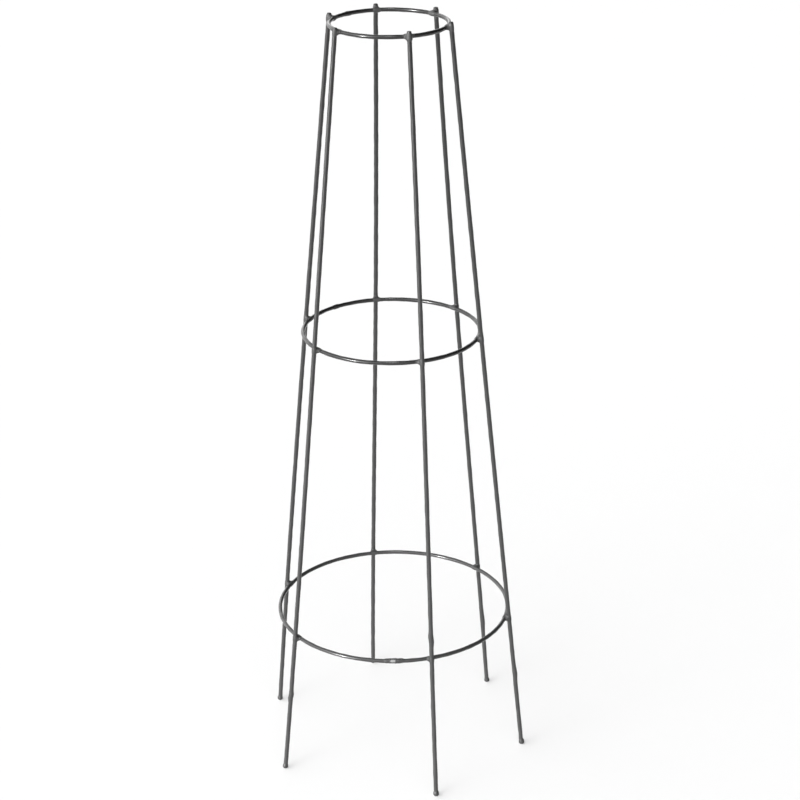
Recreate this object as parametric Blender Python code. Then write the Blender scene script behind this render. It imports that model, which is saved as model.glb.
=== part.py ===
"""Garden obelisk: six steel rods lean in over three rings, and a weld joins each rod to each ring.

Metres, +Z up. The ground is z = 0 and the origin is the middle of the feet's bounding box.
Run it with: blender --background --python part.py
"""

import math

import bmesh
import bpy
from mathutils import Matrix, Vector

# The rings, given by their rods' centre lines. They get smaller upwards at an even rate.
RINGS = ("bottom", "middle", "top")
BOTTOM_RING_HEIGHT = 0.2330
RING_SPACING = 0.480
BOTTOM_RING_RADIUS = 0.1852
TOP_RING_RADIUS = 0.0880
CLOSURE_ANGLE = {"bottom": 269, "middle": 130, "top": 134}  # where the bent rod's ends meet

# The legs. The rods were set by hand, so each has its own places, in degrees round the axis from +X
# towards +Y, on the ground and at the bottom, middle and top rings, and its own height of tip over
# the top ring's centre line.
LEGS = {
    "front_right": ((-14.8, -15.6, -17.6, -19.0), 0.0082),
    "back_right": ((42.0, 42.3, 43.9, 42.7), 0.0085),
    "back_centre": ((100.0, 100.3, 100.0, 101.9), 0.0080),
    "back_left": ((155.2, 157.1, 158.6, 158.0), 0.0077),
    "front_left": ((214.5, 215.4, 215.7, 215.4), 0.0068),
    "front_centre": ((287.4, 287.6, 288.3, 287.6), 0.0092),
}

# The bar
LEG_ROD_RADIUS = 0.00345
RING_ROD_RADIUS = 0.00315
ROD_SIDES = 12
LEG_SEGMENTS = 8
RING_SEGMENTS = 48
TIP_DOME = 0.0014  # height of the rounding at a leg's top end
TIP_DOME_TURN = math.radians(72)  # how far over it curves before the flat end
TIP_DOME_STEPS = 3

# The beads of weld metal
WELD_ROOT = 0.0008  # weld metal between a leg and a ring, at its thinnest
CROSSING_BEAD = (0.0058, 0.0052, 0.0048)  # half sizes along the ring, outwards and along the leg
# half sizes along the ring and across it
CLOSURE_BEAD = {
    "bottom": (0.0140, 0.0046, 0.0046),
    "middle": (0.0080, 0.0042, 0.0042),
    "top": (0.0080, 0.0042, 0.0042),
}
CLOSURE_GAP = 0.0030  # between the two ends of a ring's rod
FOOT_BEAD = (0.0047, 0.0047, 0.0068)  # half sizes across the leg and along it
FOOT_BEAD_HEIGHT = 0.0034  # of the bead's middle over the ground
FOOT_BEAD_OUT = 0.0006  # of the bead's middle from the leg's, away from the rings' axis
LEG_END_HEIGHT = 0.0026  # of the leg's cut end, inside the foot bead
BEAD_SEGMENTS = 14
BEAD_RINGS = 8

GAP = 0.0003  # between touching solids
OVERRUN = 0.010  # of a cutter past the end that it clears
SHARP_ANGLE = math.radians(35)
SLOPE_STEP = 0.001  # of height, to find a leg's direction over

TOP_RING_HEIGHT = BOTTOM_RING_HEIGHT + 2 * RING_SPACING
TAPER = (BOTTOM_RING_RADIUS - TOP_RING_RADIUS) / (TOP_RING_HEIGHT - BOTTOM_RING_HEIGHT)
LEAN = math.atan(TAPER)
LEG_STAND_OFF = (LEG_ROD_RADIUS + WELD_ROOT + RING_ROD_RADIUS) / math.cos(LEAN)


def clear_scene():
    for obj in list(bpy.data.objects):
        bpy.data.objects.remove(obj, do_unlink=True)


def coated_steel(name, grey, roughness):
    """Dark coating on steel. The coating is a dielectric, so it isn't metallic."""
    material = bpy.data.materials.new(name)
    material.use_nodes = True
    shader = material.node_tree.nodes["Principled BSDF"]
    shader.inputs["Base Color"].default_value = (grey, grey, grey * 1.03, 1)
    shader.inputs["Roughness"].default_value = roughness
    shader.inputs["Metallic"].default_value = 0.0
    return material


# Places on the frame, measured from the rings' axis


def ring_height(ring):
    return BOTTOM_RING_HEIGHT + RINGS.index(ring) * RING_SPACING


def ring_radius(ring):
    return BOTTOM_RING_RADIUS - TAPER * (ring_height(ring) - BOTTOM_RING_HEIGHT)


def around(radius, angle, height):
    return Vector((radius * math.cos(angle), radius * math.sin(angle), height))


def leg_angle(leg, height):
    """The leg's angle round the axis: a cubic in the height, through its four given places."""
    stations = (0.0, *[ring_height(ring) for ring in RINGS])
    angle = 0.0
    for i, degrees in enumerate(LEGS[leg][0]):
        share = 1.0
        for j, other in enumerate(stations):
            if j != i:
                share *= (height - other) / (stations[i] - other)
        angle += math.radians(degrees) * share
    return angle


def leg_point(leg, height):
    radius = BOTTOM_RING_RADIUS + LEG_STAND_OFF - TAPER * (height - BOTTOM_RING_HEIGHT)
    return around(radius, leg_angle(leg, height), height)


def leg_direction(leg, height):
    return (leg_point(leg, height + SLOPE_STEP) - leg_point(leg, height - SLOPE_STEP)).normalized()


def leg_tip(leg):
    return TOP_RING_HEIGHT + LEGS[leg][1]


def footprint_middle():
    """The middle of the feet's bounding box, which the origin stands under."""
    feet = [leg_point(leg, 0.0) for leg in LEGS]
    sides = [(min(foot[i] for foot in feet), max(foot[i] for foot in feet)) for i in (0, 1)]
    return Vector([(low + high) / 2 for low, high in sides] + [0.0])


AXIS = -footprint_middle()


# Solids


def place(name, mesh, origin, material):
    """An object whose mesh was built round the rings' axis, with its origin at the given place there."""
    mesh.transform(Matrix.Translation(-origin))
    if material:
        mesh.materials.append(material)
    mesh.shade_smooth()
    mesh.set_sharp_from_angle(angle=SHARP_ANGLE)
    obj = bpy.data.objects.new(name, mesh)
    obj.location = AXIS + origin
    bpy.context.scene.collection.objects.link(obj)
    return obj


def rod_mesh(path, radius):
    """A round bar along a path of (point, share of the radius), with flat ends."""
    curve = bpy.data.curves.new("rod", "CURVE")
    curve.dimensions = "3D"
    curve.bevel_depth = radius
    curve.bevel_resolution = (ROD_SIDES - 4) // 2
    curve.use_fill_caps = True
    spline = curve.splines.new("POLY")
    spline.points.add(len(path) - 1)
    for spline_point, (point, share) in zip(spline.points, path):
        spline_point.co = (*point, 1)
        spline_point.radius = share
    holder = bpy.data.objects.new("rod", curve)
    mesh = bpy.data.meshes.new_from_object(holder)
    bpy.data.objects.remove(holder)
    bpy.data.curves.remove(curve)
    return mesh


def cutter(name, path, rod_radius):
    """The space that a bead leaves for a rod: the rod's own shape, with the gap all round it."""
    obj = place("cutter_" + name, rod_mesh(path, rod_radius + GAP), Vector(), None)
    obj.hide_render = True
    obj.display_type = "WIRE"
    return obj


def leg_path(leg, start, end):
    heights = [start + (end - start) * i / LEG_SEGMENTS for i in range(LEG_SEGMENTS + 1)]
    return [(leg_point(leg, height), 1.0) for height in heights]


def make_leg(leg, material):
    dome_start = leg_tip(leg) - TIP_DOME
    path = leg_path(leg, LEG_END_HEIGHT, dome_start)
    for step in range(1, TIP_DOME_STEPS + 1):
        turn = TIP_DOME_TURN * step / TIP_DOME_STEPS
        rise = TIP_DOME * math.sin(turn) / math.sin(TIP_DOME_TURN)
        path.append((leg_point(leg, dome_start + rise), math.cos(turn)))
    place("leg_" + leg, rod_mesh(path, LEG_ROD_RADIUS), leg_point(leg, 0.0), material)


def leg_cutter(leg):
    path = leg_path(leg, LEG_END_HEIGHT - GAP, leg_tip(leg) + OVERRUN)
    return cutter("leg_" + leg, path, LEG_ROD_RADIUS)


def ring_path(ring, end_gap):
    """The ring's rod from one end round to the other, with that gap between its ends."""
    radius = ring_radius(ring)
    start = math.radians(CLOSURE_ANGLE[ring]) + end_gap / 2 / radius
    turn = math.tau - end_gap / radius
    angles = [start + turn * i / RING_SEGMENTS for i in range(RING_SEGMENTS + 1)]
    return [(around(radius, angle, ring_height(ring)), 1.0) for angle in angles]


def make_ring(ring, material):
    mesh = rod_mesh(ring_path(ring, CLOSURE_GAP), RING_ROD_RADIUS)
    place("ring_" + ring, mesh, Vector((0, 0, ring_height(ring))), material)


def ring_cutter(ring):
    return cutter("ring_" + ring, ring_path(ring, CLOSURE_GAP - 2 * GAP), RING_ROD_RADIUS)


def facing(across, along, middle):
    """A bead's own frame: X across, Z as near to along as X allows, and its middle."""
    across = across.normalized()
    outwards = along.cross(across).normalized()
    turn = Matrix((across, outwards, across.cross(outwards))).transposed()
    return Matrix.Translation(middle) @ turn.to_4x4()


def make_bead(name, frame, half_sizes, cutters, material, ground=False):
    """An oval bead of weld metal that leaves room for the rods it joins."""
    bead = bmesh.new()
    bmesh.ops.create_uvsphere(
        bead,
        u_segments=BEAD_SEGMENTS,
        v_segments=BEAD_RINGS,
        radius=1,
        matrix=frame @ Matrix.Diagonal((*half_sizes, 1)),
    )
    if ground:
        everything = bead.verts[:] + bead.edges[:] + bead.faces[:]
        bmesh.ops.bisect_plane(
            bead, geom=everything, plane_co=(0, 0, 0), plane_no=(0, 0, 1), clear_inner=True
        )
        bmesh.ops.holes_fill(bead, edges=[edge for edge in bead.edges if edge.is_boundary])
    bmesh.ops.recalc_face_normals(bead, faces=bead.faces)
    mesh = bpy.data.meshes.new(name)
    bead.to_mesh(mesh)
    bead.free()
    origin = frame.to_translation()
    if ground:
        origin.z = 0.0
    obj = place(name, mesh, origin, material)
    for room in cutters:
        cut = obj.modifiers.new("room_for_" + room.name, "BOOLEAN")
        cut.operation = "DIFFERENCE"
        cut.solver = "EXACT"
        cut.object = room


def make_crossing(ring, leg, cutters, material):
    height = ring_height(ring)
    angle = leg_angle(leg, height)
    out = around(1, angle, 0)
    tangent = Vector((-out.y, out.x, 0))
    middle = around(ring_radius(ring) + RING_ROD_RADIUS + WELD_ROOT / 2, angle, height)
    frame = facing(tangent, leg_direction(leg, height), middle)
    make_bead(f"weld_{ring}_{leg}", frame, CROSSING_BEAD, cutters, material)


def make_closure(ring, ring_room, material):
    angle = math.radians(CLOSURE_ANGLE[ring])
    out = around(1, angle, 0)
    tangent = Vector((-out.y, out.x, 0))
    middle = around(ring_radius(ring), angle, ring_height(ring))
    frame = facing(tangent, Vector((0, 0, 1)), middle)
    make_bead("closure_weld_" + ring, frame, CLOSURE_BEAD[ring], [ring_room], material)


def make_foot(leg, leg_room, material):
    along = leg_direction(leg, FOOT_BEAD_HEIGHT)
    out = around(1, leg_angle(leg, 0.0), 0)
    middle = leg_point(leg, FOOT_BEAD_HEIGHT) + out * FOOT_BEAD_OUT
    frame = facing(along.cross(out), along, middle)
    make_bead("foot_" + leg, frame, FOOT_BEAD, [leg_room], material, ground=True)


def main():
    clear_scene()
    rod_coating = coated_steel("leg_coating", 0.055, 0.42)
    ring_coating = coated_steel("ring_coating", 0.050, 0.34)
    weld_coating = coated_steel("weld_coating", 0.055, 0.48)
    foot_coating = coated_steel("foot_coating", 0.040, 0.55)
    leg_rooms = {leg: leg_cutter(leg) for leg in LEGS}
    ring_rooms = {ring: ring_cutter(ring) for ring in RINGS}
    for leg in LEGS:
        make_leg(leg, rod_coating)
        make_foot(leg, leg_rooms[leg], foot_coating)
    for ring in RINGS:
        make_ring(ring, ring_coating)
        make_closure(ring, ring_rooms[ring], weld_coating)
        for leg in LEGS:
            make_crossing(ring, leg, [leg_rooms[leg], ring_rooms[ring]], weld_coating)


main()
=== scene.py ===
import math

import bpy
import numpy as np
from mathutils import Matrix, Vector


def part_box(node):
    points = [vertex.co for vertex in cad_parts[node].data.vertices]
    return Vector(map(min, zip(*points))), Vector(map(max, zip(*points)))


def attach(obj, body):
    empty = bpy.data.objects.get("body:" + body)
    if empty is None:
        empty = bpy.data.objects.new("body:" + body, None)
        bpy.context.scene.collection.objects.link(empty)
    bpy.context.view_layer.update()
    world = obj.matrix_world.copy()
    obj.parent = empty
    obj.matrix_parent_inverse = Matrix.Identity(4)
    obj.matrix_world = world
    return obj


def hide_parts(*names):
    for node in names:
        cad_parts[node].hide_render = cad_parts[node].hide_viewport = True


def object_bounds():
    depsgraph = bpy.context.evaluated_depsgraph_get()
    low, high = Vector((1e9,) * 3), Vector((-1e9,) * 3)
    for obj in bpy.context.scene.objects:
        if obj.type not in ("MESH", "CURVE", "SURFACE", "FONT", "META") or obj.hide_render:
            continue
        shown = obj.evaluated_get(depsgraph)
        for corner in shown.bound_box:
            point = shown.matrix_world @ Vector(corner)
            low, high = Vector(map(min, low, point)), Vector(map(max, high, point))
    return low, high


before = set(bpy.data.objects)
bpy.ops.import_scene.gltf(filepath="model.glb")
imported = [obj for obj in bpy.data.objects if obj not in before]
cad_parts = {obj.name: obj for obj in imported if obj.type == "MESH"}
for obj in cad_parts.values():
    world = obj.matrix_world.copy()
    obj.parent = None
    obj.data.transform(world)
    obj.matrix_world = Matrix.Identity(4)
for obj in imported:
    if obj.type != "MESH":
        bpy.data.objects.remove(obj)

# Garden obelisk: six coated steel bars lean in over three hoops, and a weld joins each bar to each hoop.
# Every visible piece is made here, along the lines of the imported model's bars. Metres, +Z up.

cad_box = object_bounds()

RINGS = ("bottom", "middle", "top")
LEGS = ("front_right", "back_right", "back_centre", "back_left", "front_left", "front_centre")

# Bars
BAR_SIDES = 28
CURVE_DEGREE = 5  # of the curves that a leg's line is read into
MIDDLE_HEIGHT = 0.6  # of the place where a leg's direction stands for its whole length
LEG_STEP = 0.0040
RING_STEP = 0.0030
TIP_DOME = 0.0014  # height of the rounding at a leg's top end
TIP_STEPS = 7
TIP_FULLNESS = 0.8  # less than 1 makes the rounding fuller than a circle's
LEG_END_HEIGHT = 0.0026  # of the bar's cut end, inside the foot's knob

# Hand-made unevenness of the bars under their coating
SWELL_SIZE = 0.00007
SWELL_LENGTHS = (0.021, 0.034, 0.057, 0.093)
SWELL_TURNS = (0, 1, 2)
# Lumps along the legs: height of the middle, length, the side it is on in degrees from +X, thickness
LUMPS = {
    "front_left": ((0.134, 0.010, 0, 0.0013), (0.127, 0.010, 180, 0.0013)),
    "front_right": ((0.131, 0.022, 0, 0.0012),),
    "back_right": ((0.125, 0.028, 0, 0.0012),),
    "front_centre": (
        (0.155, 0.012, 180, 0.0006),
        (0.272, 0.016, 180, 0.0011),
        (0.264, 0.016, 0, 0.0011),
    ),
}

# The surfaces of welds and knobs
CELL = 0.00045  # of the grid that a surface is found on
TUCK = 0.00008  # how far the metal's own stubs of bar lie inside the real bars
RIPPLE_SIZE = 0.00006
RIPPLE_LENGTH = 0.0013
RIPPLE_LEAN = 0.5  # most that the ridges lean over
RIPPLE_BOW = 60  # curvature of the ridges, per metre
BUMPS = 6
BUMP_SHARE = 0.8  # of the bumps' size in the ridges' size
BUMP_LENGTHS = (0.0025, 0.006)

# The welds where bars cross
# How far weld metal spreads from the corner of two bars
FILLETS = {"bottom": 0.0043, "middle": 0.0043, "top": 0.0034}
SKIN = 0.0005  # of weld metal over the bars where they cross
THICK_SKIN = {
    "top_front_centre": 0.0012,
    "top_back_left": 0.0009,
    "top_back_right": 0.0010,
    "top_back_centre": 0.0008,
}
SKIN_RUN = 0.0050  # how far along each bar the skin fades away
TIP_EDGE = 0.002  # roundness of the metal's top edge, where a leg ends
LOBE = (0.0027, 0.0025, 0.0029)  # half sizes of the beads beside a leg: along the ring, outwards, up
LOBE_OUT = 0.0025  # of a bead's middle from the leg's own, along the ring
LOBE_RISE = {"bottom": 0.0, "middle": 0.0, "top": -0.0008}
LOBE_SCATTER = 0.0006
LOBE_SIZES = (0.85, 1.12)  # smallest and largest, as shares
LOBE_BLEND = 0.0028
WELD_REACH = (0.0100, 0.0098, 0.0100)  # half sizes of the space round a crossing that a weld fills

# The welds that close the rings: start and end along the ring, extra thickness, how far they sit up
CLOSURES = {
    "bottom": (-0.0125, 0.0190, 0.0012, 0.0005),
    "middle": (-0.0065, 0.0065, 0.0003, 0.0),
    "top": (-0.0065, 0.0065, 0.0003, 0.0),
}
CLOSURE_LOBES = 6
CLOSURE_SPREAD = 0.7  # of the outer lobes from the middle, as a share of the weld's half length
CLOSURE_LOBE_LENGTH = 0.34  # half length, in the same shares
CLOSURE_SCATTER = 0.00015
CLOSURE_SIZES = (0.96, 1.02)
CLOSURE_LOBE_BLEND = 0.0008
CLOSURE_BLEND = 0.0014
CLOSURE_OVERRUN = 1.15  # how far the metal's own stubs of bar go past the weld's ends, as a share
CLOSURE_REACH = 0.0056  # half size across the ring of the space that a closing weld fills
# A painted highlight on the bottom ring's closing weld, a pale oval of colour: half sizes along the ring,
# outwards and up
PAINTED_GLINT = (0.0044, 0.0060, 0.0022)
PAINTED_GLINT_SIDE = 0.0008  # from the weld's middle
PAINTED_GLINT_RISE = 0.0018

# The knobs at the feet: half width and half height
KNOBS = {
    "front_right": (0.0046, 0.0062),
    "back_right": (0.0042, 0.0048),
    "back_centre": (0.0042, 0.0048),
    "back_left": (0.0041, 0.0043),
    "front_left": (0.0041, 0.0043),
    "front_centre": (0.0045, 0.0052),
}
KNOB_OUT = 0.0005  # how far outwards a knob sits
KNOB_HEIGHT = 0.0034  # of a knob's middle
KNOB_SIZES = (0.97, 1.02)
KNOB_BLEND = 0.0024
KNOB_EDGE = 0.0016  # roundness of its edge on the ground
KNOB_RIPPLES = 0.5  # of a weld's
FOOT_HEIGHT = 0.0050  # of the middle of the space that a knob fills
FOOT_REACH = (0.0060, 0.0060, 0.0085)

# Seeds of the random numbers, each the first of a group's
LEG_SEED, FOOT_SEED, RING_SEED, CLOSURE_SEED, CROSSING_SEED, CROSSING_SEED_STEP = 10, 30, 50, 70, 100, 10

# Coatings. The coarsest first: noise scales per metre, and their detail.
PATCHES, GLOSS_PATCHES, CHIPS, ORANGE_PEEL = (140, 5), (260, 4), (900, 3), (1100, 3)
NOISE_SPAN = (0.3, 0.7)  # nearly all of a noise texture's values
GLOSS_SPREAD = 0.15
PAINTED_GLINT_EDGE = (0.75, 1.1)  # where the painted highlight starts and stops fading, as shares of its size
PAINTED_GLINT_RAGGED = 0.25
# colour of the painted highlight
PAINTED_GLINT_GREY = 0.20

# The camera, as seen from the rings' axis on the ground: metres, millimetres and degrees
CAMERA_DISTANCE, CAMERA_HEIGHT, CAMERA_LENS = 3.071, 1.9045, 95.8
CAMERA_YAW, CAMERA_PITCH, CAMERA_ROLL = 0.231, 23.09, -0.394
SENSOR_WIDTH = 36
CAMERA_RANGE = 100

FLOOR_HALF_SIZE = 30
FLOOR_SHADE, FLOOR_ROUGHNESS, FLOOR_SHINE = 0.768, 0.9, 0.1

# Light: soft panels, each with its azimuth, elevation, strength and tightness, and smaller lamps
PANELS = (
    (221, 9, 13.0, 50),
    (219, 20, 1.7, 50),
    (135, 8, 2.5, 8),
    (180, 8, 3.0, 8),
    (270, 8, 0.9, 8),
    (225, 40, 2.3, 8),
    (270, 40, 1.15, 8),
    (180, 40, 0.36, 8),
    (95, 18, 2.6, 30),
)
LAMPS = ((221, 9, 4.6), (270, 60, 0.5))
LAMP_WIDTH = 9.0
LIGHT = 0.94


def circle_middle(points):
    """The middle of the level circle that lies best among these points."""
    rows = np.column_stack((2 * points[:, :2], np.ones(len(points))))
    x, y, _ = np.linalg.lstsq(rows, (points[:, :2] ** 2).sum(1), rcond=None)[0]
    return np.array([x, y, points[:, 2].mean()])


def unit(vector):
    return vector / np.linalg.norm(vector, axis=-1, keepdims=True)


def node_points(node):
    return np.array([vertex.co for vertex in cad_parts[node].data.vertices], float)


class Ring:
    """A ring's bar, read from its CAD node."""

    def __init__(self, name):
        self.name = name
        points = node_points("ring_" + name)
        self.middle = circle_middle(points)
        out = np.hypot(*(points - self.middle)[:, :2].T)
        low, high = out.min(), out.max()
        self.bar = (points[:, 2].max() - points[:, 2].min()) / 2
        self.radius = (low + high) / 2

    def point(self, angle):
        out = np.stack([np.cos(angle), np.sin(angle), np.zeros_like(angle)], -1)
        return self.middle + self.radius * out

    def distance(self, points):
        """From the ring's centre line."""
        away = points - self.middle
        return np.hypot(np.hypot(away[..., 0], away[..., 1]) - self.radius, away[..., 2])


class Leg:
    """A leg's bar, read from its CAD node: its centre line's x and y are smooth curves over its height."""

    def __init__(self, name):
        self.name = name
        points = node_points("leg_" + name)
        self.x = np.polyfit(points[:, 2], points[:, 0], CURVE_DEGREE)
        self.y = np.polyfit(points[:, 2], points[:, 1], CURVE_DEGREE)
        self.tip = points[:, 2].max()
        from_line = points - self.point(points[:, 2])
        self.bar = np.linalg.norm(np.cross(from_line, self.direction(MIDDLE_HEIGHT)), axis=1).max()

    def point(self, height):
        height = np.asarray(height, float)
        return np.stack([np.polyval(self.x, height), np.polyval(self.y, height), height], -1)

    def direction(self, height):
        height = np.asarray(height, float)
        slope = [np.polyval(np.polyder(self.x), height), np.polyval(np.polyder(self.y), height)]
        return unit(np.stack([*slope, np.ones_like(height)], -1))


rings = {name: Ring(name) for name in RINGS}
legs = {name: Leg(name) for name in LEGS}


def add_piece(name, points, faces, material, replaced):
    """A piece that stands for a CAD node. Rounding errors past the CAD model's box are cut off."""
    mesh = bpy.data.meshes.new(name)
    points = np.clip(points, *cad_box)
    mesh.from_pydata([tuple(point) for point in points], [], faces)
    mesh.validate()
    mesh.materials.append(material)
    mesh.shade_smooth()
    piece = bpy.data.objects.new(name, mesh)
    bpy.context.scene.collection.objects.link(piece)
    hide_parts(replaced)
    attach(piece, "root")


def unevenness(random, round_angle, along):
    """A smooth random swelling of a bar, from waves of several lengths that also turn round it."""
    total = np.zeros(np.broadcast(round_angle, along).shape)
    for length in SWELL_LENGTHS:
        for turns in SWELL_TURNS:
            phase = random.uniform(0, math.tau)
            total = total + np.sin(along * math.tau / length + turns * round_angle + phase)
    return SWELL_SIZE * total / 2


def bar_rows(line, across, out, radii):
    """Rings of points round a line: across and out are its two side directions at each place."""
    turn = np.linspace(0, math.tau, BAR_SIDES, endpoint=False)
    side = across[:, None] * np.cos(turn)[:, None] + out[:, None] * np.sin(turn)[:, None]
    return line[:, None] + side * radii[..., None]


def row_faces(rows, closed):
    """Quads between rows of points, and a fan of triangles at each end of an open bar."""
    faces = []
    for row in range(rows if closed else rows - 1):
        this, after = row * BAR_SIDES, (row + 1) % rows * BAR_SIDES
        for side in range(BAR_SIDES):
            beside = (side + 1) % BAR_SIDES
            faces.append((this + side, this + beside, after + beside, after + side))
    if not closed:
        last = (rows - 1) * BAR_SIDES
        start_pole, end_pole = rows * BAR_SIDES, rows * BAR_SIDES + 1
        for side in range(BAR_SIDES):
            beside = (side + 1) % BAR_SIDES
            faces.append((start_pole, beside, side))
            faces.append((end_pole, last + side, last + beside))
    return faces


def lump_size(leg, round_angle, height):
    """Extra radius where a leg has a lump on one side."""
    total = 0
    for middle, length, side, thickness in LUMPS.get(leg.name, ()):
        along = np.exp(-(((height - middle) / (length / 2)) ** 2))
        facing = (1 + np.cos(round_angle - math.radians(side))) / 2
        total = total + thickness * along * facing**2
    return total


def make_leg(leg, seed, material):
    random = np.random.default_rng(seed)
    shoulder = leg.tip - TIP_DOME
    steps = round((shoulder - LEG_END_HEIGHT) / LEG_STEP)
    heights = np.linspace(LEG_END_HEIGHT, shoulder, steps + 1)
    shares = np.ones(len(heights))
    turn = np.linspace(0, math.pi / 2, TIP_STEPS + 1)[1:-1]
    heights = np.append(heights, shoulder + TIP_DOME * np.sin(turn))
    shares = np.append(shares, np.cos(turn) ** TIP_FULLNESS)
    line = leg.point(heights)
    along = leg.direction(heights)
    out = unit(np.cross(np.array([0.0, 1.0, 0.0]), along))
    across = np.cross(along, out)
    # out is near +X, so the angle round the bar runs from +X towards +Y
    round_angle = np.linspace(0, math.tau, BAR_SIDES, endpoint=False)[None]
    swell = unevenness(random, round_angle, heights[:, None])
    radii = (leg.bar + (swell + lump_size(leg, round_angle, heights[:, None]))) * shares[:, None]
    rows = bar_rows(line, out, across, radii)
    points = np.concatenate([rows.reshape(-1, 3), [line[0], leg.point(leg.tip)]])
    faces = row_faces(len(rows), False)
    add_piece("bar_" + leg.name, points, faces, material, "leg_" + leg.name)


def make_ring(ring, seed, material):
    random = np.random.default_rng(seed)
    count = round(math.tau * ring.radius / RING_STEP)
    angle = np.linspace(0, math.tau, count, endpoint=False)
    line = ring.point(angle)
    out = unit(line - ring.middle)
    up = np.broadcast_to([0.0, 0.0, 1.0], out.shape)
    round_angle = np.linspace(0, math.tau, BAR_SIDES, endpoint=False)[None]
    # whole numbers of waves fit round the ring, so that its ends meet
    total = 0
    for length in SWELL_LENGTHS:
        waves = round(math.tau * ring.radius / length)
        for turns in SWELL_TURNS:
            phase = random.uniform(0, math.tau)
            total = total + np.sin(angle[:, None] * waves + turns * round_angle + phase)
    radii = ring.bar + SWELL_SIZE * total / 2
    points = bar_rows(line, out, -up, radii).reshape(-1, 3)
    add_piece("hoop_" + ring.name, points, row_faces(count, True), material, "ring_" + ring.name)


# Weld metal, as the surface where a field is zero. Fields are distances in metres, less than zero inside.


def smooth_union(a, b, blend):
    overlap = np.maximum(blend - np.abs(a - b), 0) / blend
    return np.minimum(a, b) - overlap**2 * blend / 4


def smooth_cut(a, b, blend):
    return -smooth_union(-a, -b, blend)


def line_distance(points, through, direction):
    away = points - through
    return np.linalg.norm(away - (away @ direction)[..., None] * direction, axis=-1)


def oval(local, middle, half_sizes):
    """Roughly the distance from an oval's surface."""
    return (np.linalg.norm((local - middle) / half_sizes, axis=-1) - 1) * min(half_sizes)


def block(local, half_sizes):
    return (np.abs(local) - half_sizes).max(-1)


def gradient(field, points):
    step = CELL / 20
    return np.stack([(field(points + s) - field(points - s)) / (2 * step) for s in np.eye(3) * step], -1)


def settle(field, points, rounds):
    for _ in range(rounds):
        slope = gradient(field, points)
        points = points - (field(points) / np.maximum((slope**2).sum(-1), 0.1))[:, None] * slope
    return points


def surface_net(field, half_sizes):
    """(points, quads) of a field's surface in a box round the origin: a point in each cell it crosses."""
    counts = [2 * math.ceil(half / CELL) + 4 for half in half_sizes]
    axes = [(np.arange(count) - (count - 1) / 2) * CELL for count in counts]
    inside = field(np.stack(np.meshgrid(*axes, indexing="ij"), -1)) < 0
    corners = sum(
        inside[i : counts[0] - 1 + i, j : counts[1] - 1 + j, k : counts[2] - 1 + k].astype(int)
        for i in (0, 1)
        for j in (0, 1)
        for k in (0, 1)
    )
    crossed = (corners > 0) & (corners < 8)
    number = np.full(crossed.shape, -1)
    number[crossed] = np.arange(crossed.sum())
    low = np.array([axis[0] for axis in axes])
    points = low + (np.argwhere(crossed) + 0.5) * CELL
    quads = []
    for axis in range(3):
        # the grid edges along this axis that the surface cuts, and the four cells round each
        a, b = (axis + 1) % 3, (axis + 2) % 3
        here = np.moveaxis(inside, (axis, a, b), (0, 1, 2))
        cells = np.moveaxis(number, (axis, a, b), (0, 1, 2))
        starts, ends = here[:-1, 1:-1, 1:-1], here[1:, 1:-1, 1:-1]
        around = [cells[:, :-1, :-1], cells[:, 1:, :-1], cells[:, 1:, 1:], cells[:, :-1, 1:]]
        for mask, order in ((starts & ~ends, (0, 1, 2, 3)), (~starts & ends, (3, 2, 1, 0))):
            quads.append(np.stack([around[i][mask] for i in order], -1))
    quads = np.concatenate(quads)
    points = settle(field, points, 4)
    ends = np.concatenate([quads[:, [0, 1]], quads[:, [1, 2]], quads[:, [2, 3]], quads[:, [3, 0]]])
    for _ in range(3):
        total = np.zeros_like(points)
        np.add.at(total, ends[:, 0], points[ends[:, 1]])
        np.add.at(total, ends[:, 1], points[ends[:, 0]])
        near = np.bincount(ends.ravel(), minlength=len(points))[:, None]
        points = settle(field, points + 0.6 * (total / near - points), 1)
    return settle(field, points, 2), quads


def add_metal(name, field, frame_matrix, half_sizes, material, replaced):
    """A piece from a field given in the piece's own frame, whose rows are its sides, way out and way up."""
    points, quads = surface_net(field, half_sizes)
    placed = points @ frame_matrix[0] + frame_matrix[1]
    return add_piece(name, placed, quads.tolist(), material, replaced)


def ripples(random, local):
    """Faint ridges across a bead and a little roughness, as a moving weld pool leaves them."""
    lean = random.uniform(-RIPPLE_LEAN, RIPPLE_LEAN)
    bowed = local[..., 0] + lean * local[..., 2] + RIPPLE_BOW * local[..., 2] ** 2
    ridges = np.sin(bowed * math.tau / RIPPLE_LENGTH + random.uniform(0, math.tau))
    bumps = 0
    for _ in range(BUMPS):
        wave = unit(random.normal(size=3)) * math.tau / random.uniform(*BUMP_LENGTHS)
        bumps = bumps + np.sin(local @ wave + random.uniform(0, math.tau))
    return RIPPLE_SIZE * (ridges + BUMP_SHARE * bumps)


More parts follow.
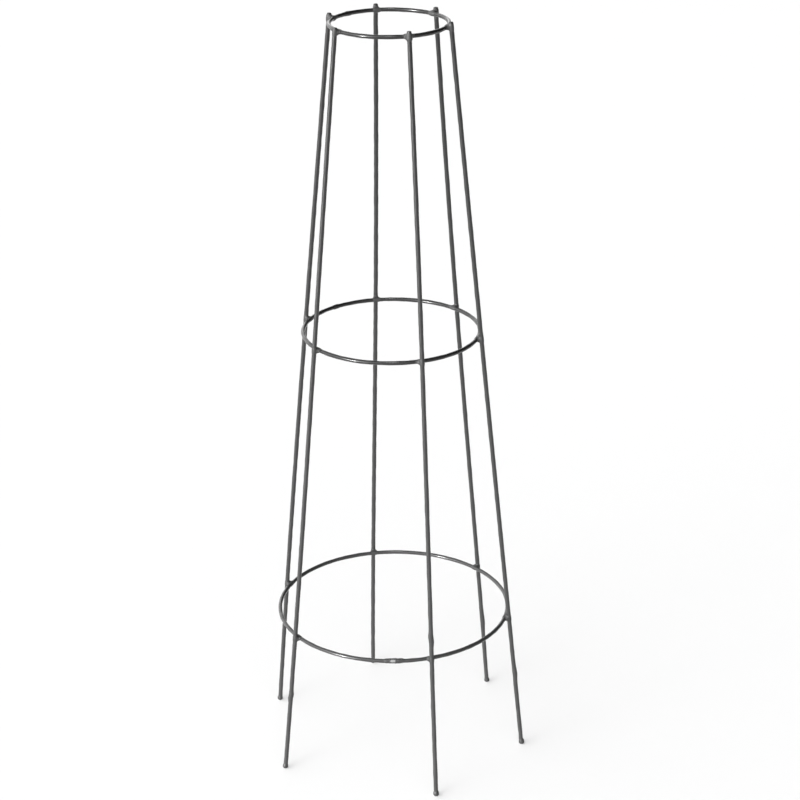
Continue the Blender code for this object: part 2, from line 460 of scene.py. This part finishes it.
def make_crossing(ring, leg, seed, material):
    random = np.random.default_rng(seed)
    height = ring.middle[2]
    on_leg = leg.point(height)
    out = unit((on_leg - ring.middle) * [1, 1, 0])
    on_ring = ring.middle + ring.radius * out
    along = leg.direction(height)
    across = unit(np.cross(out, along))
    sides = np.stack([across, np.cross(along, across), along])
    gap = np.linalg.norm(on_leg - on_ring) - leg.bar - ring.bar
    middle = on_ring + out * (ring.bar + gap / 2)
    end = leg.tip - TIP_DOME - height
    lobes = []
    for side in (-1, 1):
        place = np.array([side * LOBE_OUT, 0, LOBE_RISE[ring.name]])
        place = place + random.uniform(-LOBE_SCATTER, LOBE_SCATTER, 3)
        lobes.append((place, np.array(LOBE) * random.uniform(*LOBE_SIZES, 3)))
    wave_seed = int(random.integers(1 << 30))
    name = f"{ring.name}_{leg.name}"
    thickness = THICK_SKIN.get(name, SKIN)

    def field(local):
        world = local @ sides + middle
        on_bar = thickness * np.exp(-((local[..., 2] / SKIN_RUN) ** 4)) - TUCK
        on_hoop = thickness * np.exp(-((local[..., 0] / SKIN_RUN) ** 4)) - TUCK
        bar = line_distance(world, on_leg, along) - leg.bar - on_bar
        bar = smooth_cut(bar, (world - on_leg) @ along - end, TIP_EDGE)
        metal = smooth_union(bar, ring.distance(world) - ring.bar - on_hoop, FILLETS[ring.name])
        bead = np.minimum(*[oval(local, place, sizes) for place, sizes in lobes])
        bead = bead + ripples(np.random.default_rng(wave_seed), local)
        metal = smooth_union(metal, bead, LOBE_BLEND)
        return np.maximum(metal, block(local, WELD_REACH))

    add_metal("bead_" + name, field, (sides, middle), WELD_REACH, material, "weld_" + name)


def make_closure(ring, seed, material):
    """The lumpy weld that joins the ends of a ring's bar."""
    random = np.random.default_rng(seed)
    angle = closure_angle(ring)
    out = np.array([math.cos(angle), math.sin(angle), 0])
    middle = ring.middle + ring.radius * out
    sides = np.stack([np.array([-out[1], out[0], 0]), out, np.array([0.0, 0.0, 1.0])])
    start, end, swell, rise = CLOSURES[ring.name]
    run = (end - start) / 2
    lobes = []
    for share in np.linspace(-CLOSURE_SPREAD, CLOSURE_SPREAD, CLOSURE_LOBES):
        size = ring.bar + swell * (1 - share**2)
        offset = np.array([start + run + share * run, 0, rise])
        offset = offset + random.uniform(-CLOSURE_SCATTER, CLOSURE_SCATTER, 3)
        half_sizes = np.array([run * CLOSURE_LOBE_LENGTH, size, size])
        lobes.append((offset, half_sizes * random.uniform(*CLOSURE_SIZES, 3)))
    wave_seed = int(random.integers(1 << 30))
    reach = (max(-start, end) * CLOSURE_OVERRUN, CLOSURE_REACH, CLOSURE_REACH)

    def field(local):
        world = local @ sides + middle
        # straighten the lobes along the ring's bend
        bent = local.copy()
        bent[..., 1] = np.hypot(*np.moveaxis((world - ring.middle)[..., :2], -1, 0)) - ring.radius
        metal = ring.distance(world) - (ring.bar - TUCK)
        bead = oval(bent, *lobes[0])
        for lobe in lobes[1:]:
            bead = smooth_union(bead, oval(bent, *lobe), CLOSURE_LOBE_BLEND)
        bead = bead + ripples(np.random.default_rng(wave_seed), local)
        metal = smooth_union(metal, bead, CLOSURE_BLEND)
        metal = np.maximum(metal, np.abs(local[..., 0] - start - run) - run * CLOSURE_OVERRUN)
        return np.maximum(metal, block(local, reach))

    name = "closure_weld_" + ring.name
    add_metal("closing_bead_" + ring.name, field, (sides, middle), reach, material, name)


def make_foot(leg, seed, material):
    """The knob of metal that blunts a leg's lower end: flat underneath, and fuller on its outer side."""
    random = np.random.default_rng(seed)
    along = leg.direction(FOOT_HEIGHT)
    across = unit(np.cross(along, np.array([0.0, 1.0, 0.0])))
    sides = np.stack([across, np.cross(along, across), along])
    middle = leg.point(FOOT_HEIGHT)
    low, high = (np.array(corner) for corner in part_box("foot_" + leg.name))
    wide, tall = KNOBS[leg.name]
    knob = np.array([wide, wide, tall]) * random.uniform(*KNOB_SIZES, 3)
    outwards = unit(middle * [1, 1, 0] - rings["bottom"].middle * [1, 1, 0])
    knob_middle = leg.point(KNOB_HEIGHT) + KNOB_OUT * outwards
    wave_seed = int(random.integers(1 << 30))

    def field(local):
        world = local @ sides + middle
        bar = line_distance(world, middle, along) - (leg.bar - TUCK)
        bar = np.maximum(bar, -(local[..., 2] + FOOT_HEIGHT - LEG_END_HEIGHT))
        bead = oval(world, knob_middle, knob)
        bead = bead + KNOB_RIPPLES * ripples(np.random.default_rng(wave_seed), local)
        metal = smooth_union(bar, bead, KNOB_BLEND)
        metal = smooth_cut(metal, -world[..., 2], KNOB_EDGE)
        metal = np.maximum(metal, np.maximum(low - world, world - high).max(-1))
        return np.maximum(metal, block(local, FOOT_REACH))

    add_metal("knob_" + leg.name, field, (sides, middle), FOOT_REACH, material, "foot_" + leg.name)


# Materials


def coated_steel(name, dark, light, roughness, bump, painted_floor_light=0.0, painted_floor_light_height=1.0, painted_glint_at=None):
    """Satin coating over steel: patchy in colour and gloss, with a fine orange peel. It gets paler from a
    given height down to the ground, which is painted light from the floor. It can also carry a painted
    highlight, a pale oval of colour round a given point."""
    material = bpy.data.materials.new(name)
    material.use_nodes = True
    nodes, links = material.node_tree.nodes, material.node_tree.links
    shader = nodes["Principled BSDF"]
    place = nodes.new("ShaderNodeTexCoord")

    def noise(scale, detail):
        texture = nodes.new("ShaderNodeTexNoise")
        texture.inputs["Scale"].default_value = scale
        texture.inputs["Detail"].default_value = detail
        links.new(place.outputs["Object"], texture.inputs["Vector"])
        return texture.outputs["Fac"]

    def spread(value, low, high):
        ramp = nodes.new("ShaderNodeMapRange")
        ramp.inputs["From Min"].default_value = NOISE_SPAN[0]
        ramp.inputs["From Max"].default_value = NOISE_SPAN[1]
        ramp.inputs["To Min"].default_value = low
        ramp.inputs["To Max"].default_value = high
        links.new(value, ramp.inputs["Value"])
        return ramp.outputs["Result"]

    mix = nodes.new("ShaderNodeMix")
    mix.data_type = "RGBA"
    mix.inputs["A"].default_value = (dark, dark, dark, 1)
    mix.inputs["B"].default_value = (light, light, light, 1)
    links.new(spread(noise(*PATCHES), 0, 1), mix.inputs["Factor"])
    colour = mix.outputs["Result"]
    # painted light: the colour gets paler towards the ground, as if lit from the floor
    if painted_floor_light:
        split = nodes.new("ShaderNodeSeparateXYZ")
        links.new(place.outputs["Object"], split.inputs["Vector"])
        fade = nodes.new("ShaderNodeMapRange")
        fade.inputs["From Min"].default_value = 0.0
        fade.inputs["From Max"].default_value = painted_floor_light_height
        fade.inputs["To Min"].default_value = painted_floor_light
        fade.inputs["To Max"].default_value = 0.0
        links.new(split.outputs["Z"], fade.inputs["Value"])
        painted_floor_lit = nodes.new("ShaderNodeVectorMath")
        painted_floor_lit.operation = "ADD"
        links.new(colour, painted_floor_lit.inputs[0])
        links.new(fade.outputs["Result"], painted_floor_lit.inputs[1])
        colour = painted_floor_lit.outputs["Vector"]
    if painted_glint_at is not None:
        # painted highlight: a pale oval of colour round this point stands in for a lamp's glint
        away = nodes.new("ShaderNodeVectorMath")
        away.operation = "SUBTRACT"
        links.new(place.outputs["Object"], away.inputs[0])
        away.inputs[1].default_value = painted_glint_at
        scaled = nodes.new("ShaderNodeVectorMath")
        scaled.operation = "DIVIDE"
        links.new(away.outputs["Vector"], scaled.inputs[0])
        scaled.inputs[1].default_value = PAINTED_GLINT
        size = nodes.new("ShaderNodeVectorMath")
        size.operation = "LENGTH"
        links.new(scaled.outputs["Vector"], size.inputs[0])
        ragged = nodes.new("ShaderNodeMath")
        ragged.operation = "ADD"
        links.new(size.outputs["Value"], ragged.inputs[0])
        links.new(spread(noise(*CHIPS), -PAINTED_GLINT_RAGGED, PAINTED_GLINT_RAGGED), ragged.inputs[1])
        edge = nodes.new("ShaderNodeMapRange")
        edge.inputs["From Min"].default_value = PAINTED_GLINT_EDGE[0]
        edge.inputs["From Max"].default_value = PAINTED_GLINT_EDGE[1]
        edge.inputs["To Min"].default_value = 1.0
        edge.inputs["To Max"].default_value = 0.0
        links.new(ragged.outputs["Value"], edge.inputs["Value"])
        painted_glint_mix = nodes.new("ShaderNodeMix")
        painted_glint_mix.data_type = "RGBA"
        links.new(edge.outputs["Result"], painted_glint_mix.inputs["Factor"])
        links.new(colour, painted_glint_mix.inputs["A"])
        painted_glint_mix.inputs["B"].default_value = (PAINTED_GLINT_GREY, PAINTED_GLINT_GREY, PAINTED_GLINT_GREY, 1)
        colour = painted_glint_mix.outputs["Result"]
    links.new(colour, shader.inputs["Base Color"])
    gloss = spread(noise(*GLOSS_PATCHES), roughness * (1 - GLOSS_SPREAD), roughness * (1 + GLOSS_SPREAD))
    links.new(gloss, shader.inputs["Roughness"])
    peel = nodes.new("ShaderNodeBump")
    peel.inputs["Strength"].default_value = 1
    peel.inputs["Distance"].default_value = bump
    links.new(noise(*ORANGE_PEEL), peel.inputs["Height"])
    links.new(peel.outputs["Normal"], shader.inputs["Normal"])
    return material


# The legs and rings are painted paler towards the ground: painted light from the floor.
leg_coating = coated_steel("leg_coating", 0.008, 0.014, 0.38, 0.00002, 0.022, 1.2)
ring_coating = coated_steel("ring_coating", 0.008, 0.014, 0.20, 0.00001, 0.030, 0.75)
weld_coating = coated_steel("weld_coating", 0.020, 0.036, 0.54, 0.00003)
foot_coating = coated_steel("foot_coating", 0.026, 0.040, 0.45, 0.00004)


def closure_angle(ring):
    """Where a ring's closing weld sits, from its CAD node's box."""
    node_middle = np.array(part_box("closure_weld_" + ring.name)).mean(0)
    return math.atan2(*(node_middle - ring.middle)[1::-1])


# A painted highlight on the bottom ring's closing weld: a pale oval of colour where a lamp's glint shows.
bottom = rings["bottom"]
painted_glint_point = bottom.point(np.array(closure_angle(bottom))) + [PAINTED_GLINT_SIDE, -bottom.bar, PAINTED_GLINT_RISE]
coating_with_painted_glint = coated_steel("coating_with_painted_glint", 0.008, 0.014, 0.24, 0.000015, 0.030, 0.75, painted_glint_at=painted_glint_point)

for count, leg in enumerate(legs.values()):
    make_leg(leg, LEG_SEED + count, leg_coating)
    make_foot(leg, FOOT_SEED + count, foot_coating)
for count, ring in enumerate(rings.values()):
    make_ring(ring, RING_SEED + count, ring_coating)
    make_closure(ring, CLOSURE_SEED + count, coating_with_painted_glint if ring is bottom else ring_coating)
    for number, leg in enumerate(legs.values()):
        seed = CROSSING_SEED + CROSSING_SEED_STEP * count + number
        make_crossing(ring, leg, seed, weld_coating)


def make_camera():
    """The camera stands in front of the rings' axis and looks down at it."""
    yaw, pitch, roll = (math.radians(angle) for angle in (CAMERA_YAW, CAMERA_PITCH, CAMERA_ROLL))
    forward = Vector((math.sin(yaw) * math.cos(pitch), math.cos(yaw) * math.cos(pitch), -math.sin(pitch)))
    level = Vector((math.cos(yaw), -math.sin(yaw), 0))
    above = level.cross(forward)
    right = math.cos(roll) * level + math.sin(roll) * above
    up = -math.sin(roll) * level + math.cos(roll) * above
    camera = bpy.data.cameras.new("camera")
    camera.lens = CAMERA_LENS
    camera.sensor_width = SENSOR_WIDTH
    camera.clip_end = CAMERA_RANGE
    holder = bpy.data.objects.new("camera", camera)
    axis = rings["bottom"].middle
    turn = Matrix((right, up, -forward)).transposed().to_4x4()
    place = Matrix.Translation((axis[0], axis[1] - CAMERA_DISTANCE, CAMERA_HEIGHT))
    holder.matrix_world = place @ turn
    bpy.context.scene.collection.objects.link(holder)
    bpy.context.scene.camera = holder


def make_floor():
    half = FLOOR_HALF_SIZE
    corners = [(-half, -half, 0), (half, -half, 0), (half, half, 0), (-half, half, 0)]
    mesh = bpy.data.meshes.new("floor")
    mesh.from_pydata(corners, [], [(0, 1, 2, 3)])
    material = bpy.data.materials.new("floor")
    material.use_nodes = True
    shader = material.node_tree.nodes["Principled BSDF"]
    shader.inputs["Base Color"].default_value = (FLOOR_SHADE, FLOOR_SHADE, FLOOR_SHADE, 1)
    shader.inputs["Roughness"].default_value = FLOOR_ROUGHNESS
    shader.inputs["Specular IOR Level"].default_value = FLOOR_SHINE
    mesh.materials.append(material)
    floor = bpy.data.objects.new("floor", mesh)
    bpy.context.scene.collection.objects.link(floor)


def way_to(azimuth, elevation):
    """The direction towards a place on the sky. Azimuth is in degrees from +X towards +Y."""
    a, e = math.radians(azimuth), math.radians(elevation)
    return Vector((math.cos(a) * math.cos(e), math.sin(a) * math.cos(e), math.sin(e)))


def make_world():
    """A dark studio with wide soft panels round it. The camera sees it as plain white."""
    world = bpy.data.worlds.new("studio")
    bpy.context.scene.world = world
    world.use_nodes = True
    nodes, links = world.node_tree.nodes, world.node_tree.links

    def math_node(operation, *values):
        node = nodes.new("ShaderNodeMath")
        node.operation = operation
        for socket, value in zip(node.inputs, values):
            if isinstance(value, bpy.types.NodeSocket):
                links.new(value, socket)
            else:
                socket.default_value = value
        return node.outputs["Value"]

    place = nodes.new("ShaderNodeTexCoord")
    level = nodes.new("ShaderNodeVectorMath")
    level.operation = "NORMALIZE"
    links.new(place.outputs["Generated"], level.inputs[0])
    total = 0.0
    for azimuth, elevation, strength, tightness in PANELS:
        dot = nodes.new("ShaderNodeVectorMath")
        dot.operation = "DOT_PRODUCT"
        links.new(level.outputs["Vector"], dot.inputs[0])
        dot.inputs[1].default_value = way_to(azimuth, elevation)
        fall = math_node("MULTIPLY_ADD", dot.outputs["Value"], tightness, -tightness)
        total = math_node("MULTIPLY_ADD", math_node("EXPONENT", fall), strength * LIGHT, total)
    seen = nodes.new("ShaderNodeLightPath").outputs["Is Camera Ray"]
    hidden = math_node("SUBTRACT", 1.0, seen)
    strength = math_node("MULTIPLY_ADD", total, hidden, seen)
    links.new(strength, nodes["Background"].inputs["Strength"])
    nodes["Background"].inputs["Color"].default_value = (1, 1, 1, 1)


def make_lamps():
    for number, (azimuth, elevation, strength) in enumerate(LAMPS):
        light = bpy.data.lights.new(f"lamp_{number}", "SUN")
        light.angle = math.radians(LAMP_WIDTH)
        light.energy = strength * LIGHT
        light.use_shadow = False
        holder = bpy.data.objects.new(light.name, light)
        holder.rotation_euler = way_to(azimuth, elevation).to_track_quat("Z", "Y").to_euler()
        bpy.context.scene.collection.objects.link(holder)


make_camera()
make_floor()
make_world()
make_lamps()
bpy.context.scene.view_settings.view_transform = "Standard"
